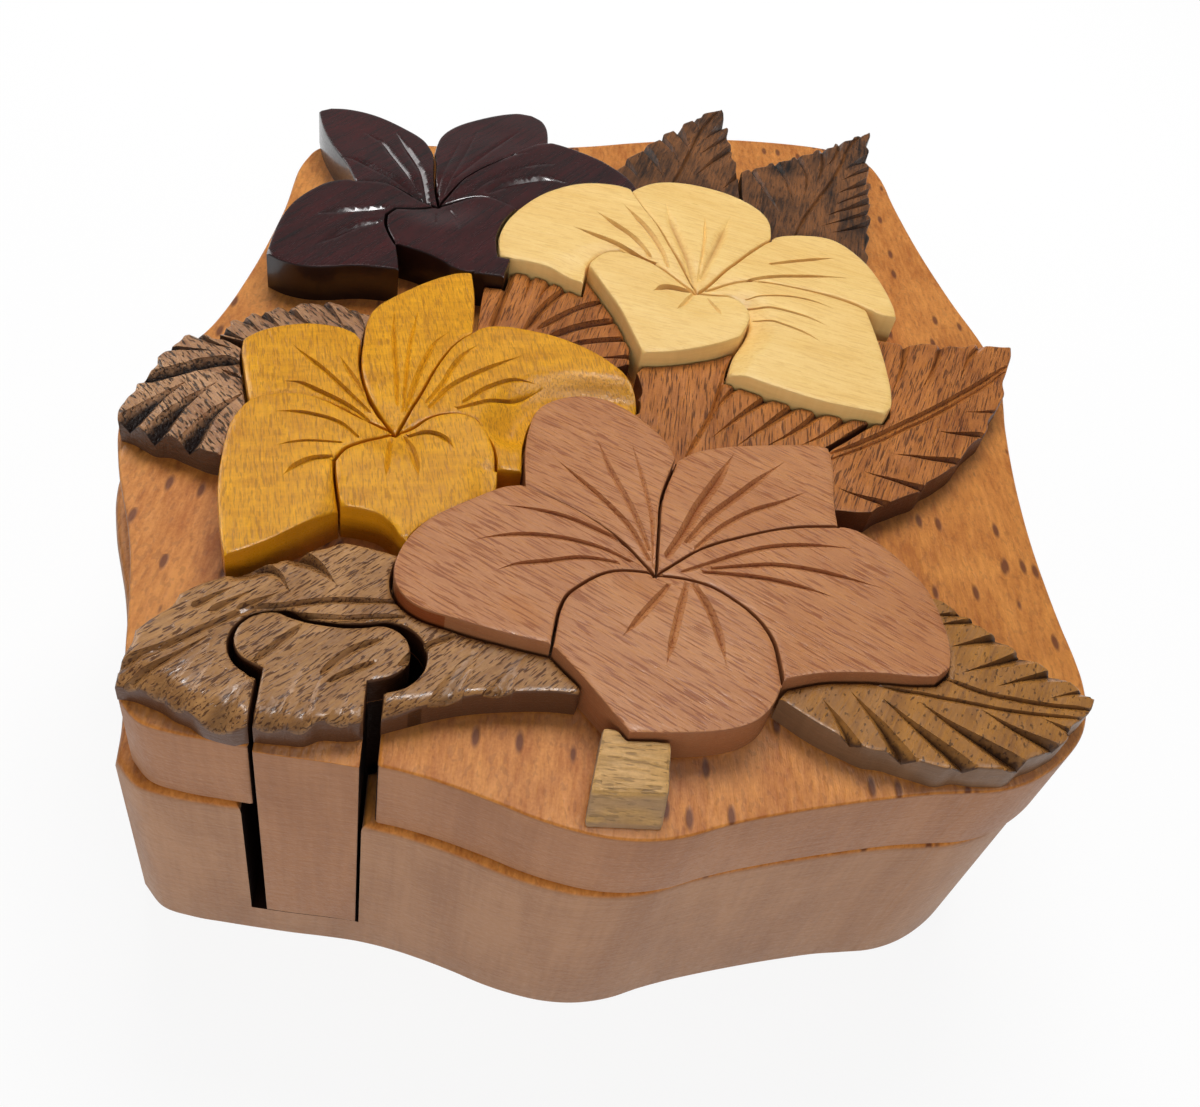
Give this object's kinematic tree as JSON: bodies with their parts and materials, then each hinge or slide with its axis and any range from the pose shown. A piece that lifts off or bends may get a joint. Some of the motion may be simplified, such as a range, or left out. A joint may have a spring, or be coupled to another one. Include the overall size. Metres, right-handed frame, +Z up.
{
  "type": "puzzle box",
  "caption": "Wavy wooden puzzle box: flower lid locked by a T-shaped lift-out key hidden in a leaf, over a felt-lined compartment.",
  "frame": {"origin": "on the standing plane, under the middle of the whole box", "axes": "+Z up, front with the key slot towards -Y, +Y along the length to the back, +X to the right"},
  "size_m": [0.1398, 0.1768, 0.0523],
  "materials": {
    "beech": "satin oiled beech",
    "beech_plate": "sanded beech",
    "felt": "dark flocked felt",
    "pink_wood": "satin",
    "yellow_wood": "satin",
    "cream_wood": "satin",
    "maroon_wood": "glossy lacquer",
    "brown_leaf_wood": "satin",
    "olive_leaf_wood": "satin",
    "red_leaf_wood": "satin",
    "dark_leaf_wood": "satin",
    "grey_leaf_wood": "satin",
    "twig_wood": "sawn"
  },
  "bodies": {
    "base": {"base_block": "beech", "bottom_plate": "beech_plate", "front_rail": "beech_plate", "back_rail": "beech_plate", "felt_floor": "felt", "felt_wall": "felt"},
    "lid": {"lid_slab": "beech", "pink_petal_back_left": "pink_wood", "pink_petal_back_right": "pink_wood", "pink_petal_right": "pink_wood", "pink_petal_front": "pink_wood", "pink_petal_left": "pink_wood", "yellow_petal_back": "yellow_wood", "yellow_petal_right": "yellow_wood", "yellow_petal_front": "yellow_wood", "yellow_petal_front_left": "yellow_wood", "yellow_petal_left": "yellow_wood", "cream_petal_left": "cream_wood", "cream_petal_back": "cream_wood", "cream_petal_right": "cream_wood", "cream_petal_front_right": "cream_wood", "cream_petal_front": "cream_wood", "dark_petal_back_left": "maroon_wood", "dark_petal_back": "maroon_wood", "dark_petal_right": "maroon_wood", "dark_petal_front": "maroon_wood", "dark_petal_front_left": "maroon_wood", "front_left_leaf": "brown_leaf_wood", "front_right_leaf": "olive_leaf_wood", "right_leaf": "red_leaf_wood", "middle_leaf": "red_leaf_wood", "left_middle_leaf": "red_leaf_wood", "back_middle_leaf": "dark_leaf_wood", "back_right_leaf": "dark_leaf_wood", "left_back_leaf": "grey_leaf_wood", "left_leaf": "grey_leaf_wood", "twig": "twig_wood"},
    "key": {"key_block": "beech", "key_cap": "brown_leaf_wood"}
  },
  "joints": [
    {"name": "key_lift", "type": "slide", "parent": "base", "child": "key", "axis": [0, 0, 1], "range_m": [0, 0.06]},
    {"name": "lid_lift", "type": "slide", "parent": "base", "child": "lid", "axis": [0, 0, 1], "range_m": [0, 0.08]}
  ]
}
